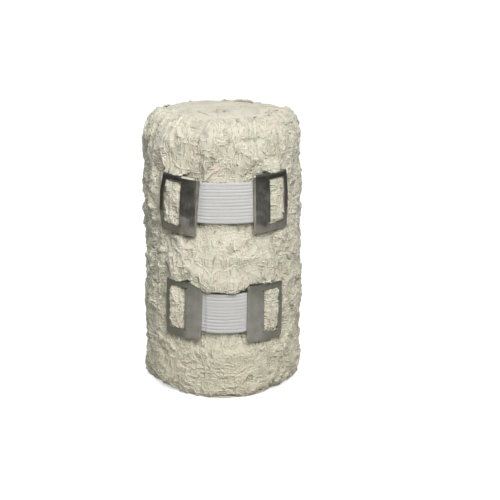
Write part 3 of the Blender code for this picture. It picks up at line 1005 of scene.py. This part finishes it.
def crepe_material(name, light, ply_depth):
    """Undyed cotton: cream with faint warm and green patches, darker and yellower towards the bottom,
    painted shade in the hollows and pits, fuzzy, with the twist of its yarns.
    """
    nodes = Nodes(name)
    body = nodes.mix(nodes.ramp(nodes.attribute("tone"), 0.0, 1.0, -2.6, 2.2), COTTON_DARK, light)
    warm = nodes.mix(nodes.ramp(nodes.noise(260.0, 2.0), 0.0, 0.75, 0.50, 0.72), body, COTTON_WARM)
    green = nodes.noise(190.0, 2.0, nodes.stretched((1.0, 1.0, 0.8)))
    cream = nodes.mix(nodes.ramp(green, 0.0, 0.55, 0.50, 0.70), warm, COTTON_GREEN)
    # Darker and yellower towards the bottom of the roll.
    lower = nodes.ramp(nodes.split_place()["Z"], 0.5, 0.0, 0.008, 0.042)
    # Painted shade: darker where the cloth sinks between squiggles and into pits, most where the squiggles
    # are bold, on the left.
    painted_hollow_shade = nodes.ramp(nodes.attribute("squiggle"), 0.72, 0.0, -0.55, 0.0)
    colour = nodes.mix(painted_hollow_shade, nodes.mix(lower, cream, COTTON_TOWARDS_BOTTOM), COTTON_PAINTED_SHADE)
    strands = nodes.math("SINE", nodes.math("MULTIPLY", nodes.attribute("ply"), FULL_TURN))
    fibres = nodes.noise(5200.0, 4.0)
    return nodes.finish(
        Base_Color=colour,
        Roughness=nodes.ramp(fibres, 0.82, 0.98),
        Normal=nodes.bump(fibres, 0.00012, 0.6, nodes.bump(strands, ply_depth, 0.5)),
        Sheen_Weight=0.10,
        Sheen_Roughness=0.6,
        Specular_IOR_Level=0.2,
    )


def webbing_material():
    """Bleached covered elastic: near white with a cold cast, and fine cover threads across the strands."""
    nodes = Nodes("elastic webbing")
    threads = nodes.noise(1.0, 2.0, nodes.stretched((5200.0, 5200.0, 900.0)))
    white = nodes.mix(nodes.noise(300.0, 3.0), ELASTIC_WHITE, ELASTIC_SOILED)
    return nodes.finish(
        Base_Color=nodes.mix(nodes.ramp(threads, 0.0, 0.4, 0.45, 0.75), white, ELASTIC_THREAD),
        Roughness=nodes.ramp(threads, 0.6, 0.85),
        Normal=nodes.bump(threads, 0.00008, 0.6),
        Sheen_Weight=0.1,
    )


def plate_edges(node):
    """Straight lines along a plate's inner, upper and lower edges, as slopes and starts, in metres."""
    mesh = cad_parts[node].data
    places = np.array([vertex.co for vertex in mesh.vertices])
    across = np.abs(np.arctan2(places[:, 0], -places[:, 1])) * PLATE_BEND * MM
    height = places[:, 2]
    columns = [across.min() + share * np.ptp(across) for share in (0.25, 0.75)]
    rows = [height.min() + share * np.ptp(height) for share in (0.3, 0.7)]
    near = 0.06 * np.ptp(height)
    tops = [height[np.abs(across - column) < near].max() for column in columns]
    lows = [height[np.abs(across - column) < near].min() for column in columns]
    inners = [across[np.abs(height - row) < 3.0 * near].min() for row in rows]
    return [np.polyfit(columns, tops, 1), np.polyfit(columns, lows, 1), np.polyfit(rows, inners, 1)]


def plate_material(node, finish, dent, slope, tarnish):
    """Nickel-plated pressed sheet: bevelled edges, rolling grain, faint dents, a cloudy polish, and
    painted shade from the upper edge down and over the outer bar.
    """
    nodes = Nodes(node.replace("_", " ") + " nickel")
    place = nodes.split_place()
    across = nodes.math("MULTIPLY", nodes.azimuth(place), PLATE_BEND * MM)
    height = place["Z"]
    top, bottom, inner = plate_edges(node)
    distances = (
        nodes.math("SUBTRACT", nodes.line(across, top), height),
        nodes.math("SUBTRACT", height, nodes.line(across, bottom)),
        nodes.math("SUBTRACT", across, nodes.line(height, inner)),
    )
    bevel = 0.0
    for distance in distances:
        bevel = nodes.math("ADD", nodes.ramp(distance, 1.0, 0.0, 0.0, EDGE_BEVEL * MM), bevel)
    rolled = nodes.bump(nodes.math("MULTIPLY", bevel, -slope * EDGE_BEVEL * MM), 1.0)
    grain = nodes.noise(1.0, 3.0, nodes.stretched((2600.0, 2600.0, 260.0)))
    cloud = nodes.ramp(nodes.noise(420.0, 3.0), 0.0, 1.0, 0.35, 0.70)
    worn = nodes.mix(cloud, finish["colour"], finish["dull"])
    # Painted shade, darker from the upper edge down.
    upper = nodes.ramp(distances[0], TOP_SHADE, 0.0, 0.0, TOP_SHADE_DEPTH * MM)
    # Painted shade over the outer bar.
    outer = nodes.ramp(distances[2], 0.0, tarnish, OUTER_BAR[0] * MM, OUTER_BAR[1] * MM)
    dents = nodes.bump(nodes.noise(150.0, 1.0), 0.0005, dent, rolled)
    return nodes.finish(
        Base_Color=nodes.mix(nodes.math("MAXIMUM", upper, outer), worn, METAL_SHADE),
        Roughness=nodes.ramp(grain, *finish["roughness"], 0.3, 0.7),
        Normal=nodes.bump(grain, 0.00002, 0.25, dents),
        Metallic=1.0,
    )


def pale_material(name, glow):
    """Pale matt paper that glows, so that it stays pale however it is lit."""
    nodes = Nodes(name)
    darker = tuple(0.99 * value for value in PALE)
    return nodes.finish(
        Base_Color=nodes.mix(nodes.noise(60.0, 2.0), darker, PALE),
        Roughness=0.9,
        Emission_Color=(1.0, 1.0, 0.99),
        Emission_Strength=glow,
    )


def stage_ring(name, start, end, material):
    """A round strip of floor or wall between two rings, each a radius and a height, in metres."""
    angles = np.linspace(0.0, FULL_TURN, STAGE_SIDES, endpoint=False)
    rings = [
        np.stack([radius * np.cos(angles), radius * np.sin(angles), np.full(STAGE_SIDES, height)], -1)
        for radius, height in (start, end)
    ]
    mesh = bpy.data.meshes.new(name)
    quads = ring_quads(2, STAGE_SIDES)[:, FLIPPED]
    mesh.from_pydata(np.concatenate(rings).tolist(), [], quads.tolist())
    mesh.materials.append(material)
    piece = bpy.data.objects.new(name, mesh)
    bpy.context.scene.collection.objects.link(piece)
    return piece


def bounce_material():
    """A tabletop with painted light and shade: lighter near the roll and straight before it, dark and
    mottled further off, for the plates to reflect.
    """
    nodes = Nodes("tabletop with painted light")
    distance = nodes.add("ShaderNodeVectorMath", {0: nodes.place()}, operation="LENGTH").outputs["Value"]
    azimuth = nodes.azimuth(nodes.split_place())
    # Painted light: lighter near the roll and straight before it, for the plates and their inner edges to
    # reflect.
    near = nodes.ramp(distance, 1.0, 0.0, 0.183, 0.200)
    ahead = nodes.ramp(azimuth, 1.0, 0.0, math.radians(20.0), math.radians(36.0))
    mottle = nodes.ramp(nodes.noise(26.0, 2.0), 0.0, 1.0, 0.44, 0.60)
    far = nodes.mix(mottle, TABLE_DARK, TABLE_GREY)
    light = nodes.math("MAXIMUM", near, ahead)
    return nodes.finish(Base_Color=nodes.mix(light, far, TABLE_LIGHT), Roughness=0.9)


def hide_from(piece, *rays):
    for ray in rays:
        setattr(piece, f"visible_{ray}", False)


def set_up(name, data, place, aim):
    """A light or camera at a place, turned towards what it aims at, both in metres."""
    thing = bpy.data.objects.new(name, data)
    thing.location = place
    thing.rotation_euler = (Vector(aim) - Vector(place)).to_track_quat("-Z", "Y").to_euler()
    bpy.context.scene.collection.objects.link(thing)
    return thing


def make_stage():
    """A pale floor and wall for the camera, and a floor with painted light and shade that bounces light
    and shows in metal.
    """
    near, far = (STAGE_HOLE_M, FLOOR_LEVEL_M), (STAGE_RADIUS_M, FLOOR_LEVEL_M)
    floor = stage_ring("studio_floor", near, far, pale_material("pale floor", 0.56))
    above = (STAGE_RADIUS_M, STAGE_RADIUS_M)
    wall = stage_ring("studio_wall", far, above, pale_material("pale backdrop", 0.62))
    for piece in (floor, wall):
        hide_from(piece, "diffuse", "glossy", "shadow")
    near, far = (STAGE_HOLE_M, BOUNCE_LEVEL_M), (BOUNCE_RADIUS_M, BOUNCE_LEVEL_M)
    bounce = stage_ring("studio_bounce", near, far, bounce_material())
    hide_from(bounce, "camera", "shadow", "transmission", "volume_scatter")
    world = bpy.data.worlds.new("studio")
    world.use_nodes = True
    background = world.node_tree.nodes["Background"]
    background.inputs["Color"].default_value = SKY
    background.inputs["Strength"].default_value = SKY_STRENGTH
    bpy.context.scene.world = world
    for light in LIGHTS:
        data = bpy.data.lights.new(light["name"], light["kind"])
        data.energy = light["energy"]
        data.color = LIGHT_COLOUR
        setattr(data, "angle" if light["kind"] == "SUN" else "size", light["spread"])
        set_up(light["name"], data, light["place"], LIGHT_AIM_M)


def make_camera():
    data = bpy.data.cameras.new("camera")
    data.lens = CAMERA_LENS
    data.sensor_width = CAMERA_SENSOR
    bpy.context.scene.camera = set_up("camera", data, CAMERA_PLACE_M, CAMERA_AIM_M)


surface = WoundSurface()
clips = ClipLimits()

yarn_cotton = crepe_material("crepe yarn", COTTON_LIGHT, 0.00008)
# The backing's darker cotton is painted shade for the gaps between the yarns and turns.
backing_cotton = crepe_material("crepe backing", COTTON_BEHIND, 0.0)
strip_piece, strip_length = make_strip(backing_cotton)
yarn_pieces = make_yarns(yarn_cotton) + make_selvedges(yarn_cotton)
yarn_pieces += [make_ground(backing_cotton), make_crown(backing_cotton)]
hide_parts("bandage_roll")
webbing = webbing_material()
for clip, seed in ELASTIC_SEEDS.items():
    make_elastic(clip, seed, webbing)
for plate in PLATES:
    metal = plate_material(**plate)
    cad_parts[plate["node"]].data.materials.clear()
    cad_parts[plate["node"]].data.materials.append(metal)

make_stage()
make_camera()
bpy.context.scene.view_settings.view_transform = "Standard"
